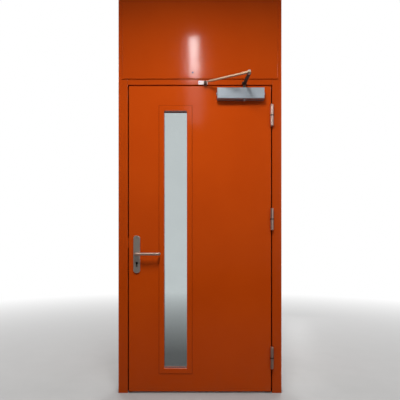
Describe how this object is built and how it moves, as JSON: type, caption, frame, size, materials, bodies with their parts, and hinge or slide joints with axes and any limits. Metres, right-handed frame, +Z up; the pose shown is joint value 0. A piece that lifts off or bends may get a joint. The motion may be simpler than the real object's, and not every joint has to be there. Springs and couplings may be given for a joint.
{
  "type": "fire door",
  "caption": "Painted steel fire door leaf in its folded frame with over-panel, tall narrow vision panel, lift-off hinges, lever lock and surface arm closer.",
  "frame": {"origin": "floor level, midway between the jambs, at mid depth of the frame, which is the centre of the two floor anchor holes", "axes": "+X across the door to the hinge side, +Y away from the side the leaf opens to, +Z up"},
  "size_m": [1.116, 0.339, 2.7],
  "materials": {
    "paint": "gloss",
    "closer_silver": "satin",
    "stainless": "satin",
    "steel": "satin",
    "dark_steel": "satin",
    "ring": "satin",
    "seal": "matte",
    "wool": "matte",
    "glass": "gloss"
  },
  "bodies": {
    "frame": {"lock_jamb": "paint", "hinge_jamb": "paint", "head_rail": "paint", "top_rail": "paint", "over_panel_front": "paint", "over_panel_core": "wool", "over_panel_back": "paint", "over_panel_screw": "dark_steel", "frame_seal": "seal", "floor_anchors": "steel", "strike_plate": "paint", "strike_screws": "steel", "closer_shoe": "closer_silver", "closer_shoe_screws": "steel", "hinge_frame_bottom": "steel", "hinge_frame_middle": "steel", "hinge_frame_top": "steel", "hinge_pin_bottom": "steel", "hinge_pin_middle": "steel", "hinge_pin_top": "steel", "hinge_ring_bottom": "ring", "hinge_ring_middle": "ring", "hinge_ring_top": "ring"},
    "leaf": {"hinge_door_bottom": "steel", "hinge_door_middle": "steel", "hinge_door_top": "steel", "leaf_front_skin": "paint", "leaf_back_skin": "paint", "leaf_core": "wool", "leaf_channels": "steel", "closer_reinforcement": "steel", "glass_pane": "glass", "glazing_bead_front": "paint", "glazing_bead_back": "paint", "glazing_tapes": "seal", "handle_plate_front": "stainless", "handle_plate_back": "stainless", "handle_bolts": "steel", "lock_case": "steel", "lock_cover": "steel", "lock_forend": "steel", "forend_screws": "steel", "closer_housing": "closer_silver", "closer_end_plugs": "closer_silver", "closer_valves": "closer_silver", "closer_cap": "closer_silver"},
    "lever": {"lever_front": "stainless", "lever_back": "stainless", "spindle": "steel", "follower": "steel"},
    "latch": {"latch_bolt": "steel"},
    "deadbolt": {"dead_bolt": "steel"},
    "main_arm": {"closer_pinion": "dark_steel", "closer_main_arm": "dark_steel", "elbow_screw": "closer_silver"},
    "forearm": {"closer_forearm": "closer_silver", "closer_rod_end": "dark_steel", "closer_lock_nut": "steel", "shoe_pivot_screw": "dark_steel"}
  },
  "joints": [
    {"name": "door_swing", "type": "hinge", "parent": "frame", "child": "leaf", "pos_m": [0.49, -0.0675, 0], "axis": [0, 0, 1], "range_deg": [0, 90], "stiffness_Nm_per_rad": 6, "springref_deg": -171.89},
    {"name": "lever_turn", "type": "hinge", "parent": "leaf", "child": "lever", "pos_m": [-0.432, 0, 0.952], "axis": [0, 1, 0], "range_deg": [0, 40], "stiffness_Nm_per_rad": 1.2, "springref_deg": -45.84},
    {"name": "latch_slide", "type": "slide", "parent": "leaf", "child": "latch", "axis": [1, 0, 0], "range_m": [0, 0.0121]},
    {"name": "deadbolt_slide", "type": "slide", "parent": "leaf", "child": "deadbolt", "axis": [-1, 0, 0], "range_m": [0, 0.02]},
    {"name": "closer_arm_turn", "type": "hinge", "parent": "leaf", "child": "main_arm", "pos_m": [0.3, -0.083, 0], "axis": [0, 0, 1], "range_deg": [-185.6, 0]},
    {"name": "closer_elbow_turn", "type": "hinge", "parent": "main_arm", "child": "forearm", "pos_m": [0.312, -0.267, 0], "axis": [0, 0, 1], "range_deg": [0, 98.6]}
  ],
  "couplings": [
    {"joint": "latch_slide", "follows": "lever_turn", "m_per_rad": 0.0172},
    {"joint": "closer_arm_turn", "follows": "door_swing", "ratio": -2.0596},
    {"joint": "closer_elbow_turn", "follows": "door_swing", "ratio": 1.0931}
  ]
}
